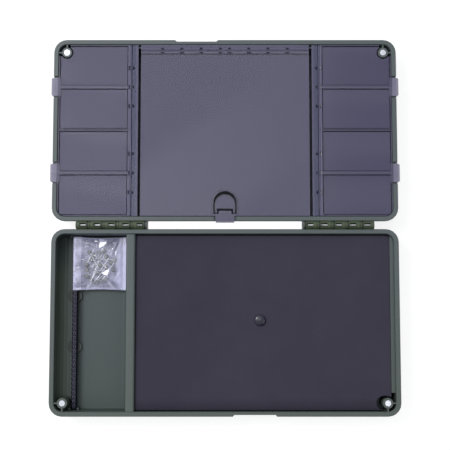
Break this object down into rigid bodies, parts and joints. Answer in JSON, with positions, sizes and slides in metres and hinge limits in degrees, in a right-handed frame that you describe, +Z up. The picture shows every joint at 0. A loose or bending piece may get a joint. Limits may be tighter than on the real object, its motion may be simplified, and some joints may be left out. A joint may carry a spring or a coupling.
{
  "type": "fishing rig box",
  "caption": "Shallow clam-shell rig box, open flat: covered lid compartments, a foam rig board, a hook rack and a bag of ball-headed rig pins.",
  "frame": {"origin": "on the surface that the open box lies on, midway along the hinge line and straight below it", "axes": "+X along the hinge line to the right of the picture, +Y from the hinge line across the lid half, +Z up out of the open halves"},
  "size_m": [0.3644, 0.3924, 0.0339],
  "materials": {
    "green_plastic": "satin",
    "smoked_plastic": "gloss",
    "board_foam": "matte",
    "dark_plastic": "gloss",
    "rack_plastic": "satin",
    "bright_steel": "polished",
    "nickel": "polished",
    "clear_film": "gloss",
    "pearl_head": "satin"
  },
  "bodies": {
    "base": {"base_tray": "green_plastic", "base_left_magnet": "nickel", "base_right_magnet": "nickel", "left_hinge_pin": "bright_steel", "right_hinge_pin": "bright_steel", "hook_rack": "rack_plastic"},
    "lid": {"lid_shell": "green_plastic", "lid_left_magnet": "nickel", "lid_right_magnet": "nickel", "left_hinge_strip": "smoked_plastic", "right_hinge_strip": "smoked_plastic", "front_hinge_strip": "smoked_plastic"},
    "left_rear_cover": {"left_rear_cover": "smoked_plastic"},
    "left_front_cover": {"left_front_cover": "smoked_plastic"},
    "right_rear_cover": {"right_rear_cover": "smoked_plastic"},
    "right_front_cover": {"right_front_cover": "smoked_plastic"},
    "centre_cover": {"centre_cover": "smoked_plastic"},
    "cover_pull": {"cover_pull": "smoked_plastic"},
    "board": {"rig_board": "board_foam", "board_stud": "dark_plastic", "stud_washer": "bright_steel"},
    "bag": {"pin_bag": "clear_film", "rig_pin_01": "pearl_head", "rig_pin_02": "pearl_head", "rig_pin_03": "pearl_head", "rig_pin_04": "pearl_head", "rig_pin_05": "pearl_head", "rig_pin_06": "pearl_head", "rig_pin_07": "pearl_head", "rig_pin_08": "pearl_head", "rig_pin_09": "pearl_head", "rig_pin_10": "pearl_head", "rig_pin_11": "pearl_head", "rig_pin_12": "pearl_head", "rig_pin_13": "pearl_head", "rig_pin_14": "pearl_head", "rig_pin_15": "pearl_head", "rig_pin_16": "pearl_head", "rig_pin_17": "pearl_head", "rig_pin_18": "pearl_head", "rig_pin_19": "pearl_head"}
  },
  "joints": [
    {"name": "lid_hinge", "type": "hinge", "parent": "base", "child": "lid", "pos_m": [0, 0, 0.03], "axis": [-1, 0, 0], "range_deg": [-180, 0]},
    {"name": "left_rear_cover_hinge", "type": "hinge", "parent": "lid", "child": "left_rear_cover", "pos_m": [-0.0989, 0.05465, 0.02825], "axis": [0, 1, 0], "range_deg": [0, 95]},
    {"name": "left_front_cover_hinge", "type": "hinge", "parent": "lid", "child": "left_front_cover", "pos_m": [-0.0989, 0.14575, 0.02825], "axis": [0, 1, 0], "range_deg": [0, 95]},
    {"name": "right_rear_cover_hinge", "type": "hinge", "parent": "lid", "child": "right_rear_cover", "pos_m": [0.0989, 0.05465, 0.02825], "axis": [0, -1, 0], "range_deg": [0, 95]},
    {"name": "right_front_cover_hinge", "type": "hinge", "parent": "lid", "child": "right_front_cover", "pos_m": [0.0989, 0.14575, 0.02825], "axis": [0, -1, 0], "range_deg": [0, 95]},
    {"name": "centre_cover_hinge", "type": "hinge", "parent": "lid", "child": "centre_cover", "pos_m": [0, 0.1843, 0.02825], "axis": [-1, 0, 0], "range_deg": [0, 105]},
    {"name": "pull_hinge", "type": "hinge", "parent": "centre_cover", "child": "cover_pull", "pos_m": [0, 0.0132, 0.02815], "axis": [1, 0, 0], "range_deg": [0, 90]},
    {"name": "board_lift", "type": "slide", "parent": "base", "child": "board", "axis": [0, 0, 1], "range_m": [0, 0.06]},
    {"name": "bag_lift", "type": "slide", "parent": "base", "child": "bag", "axis": [0, 0, 1], "range_m": [0, 0.06]}
  ]
}
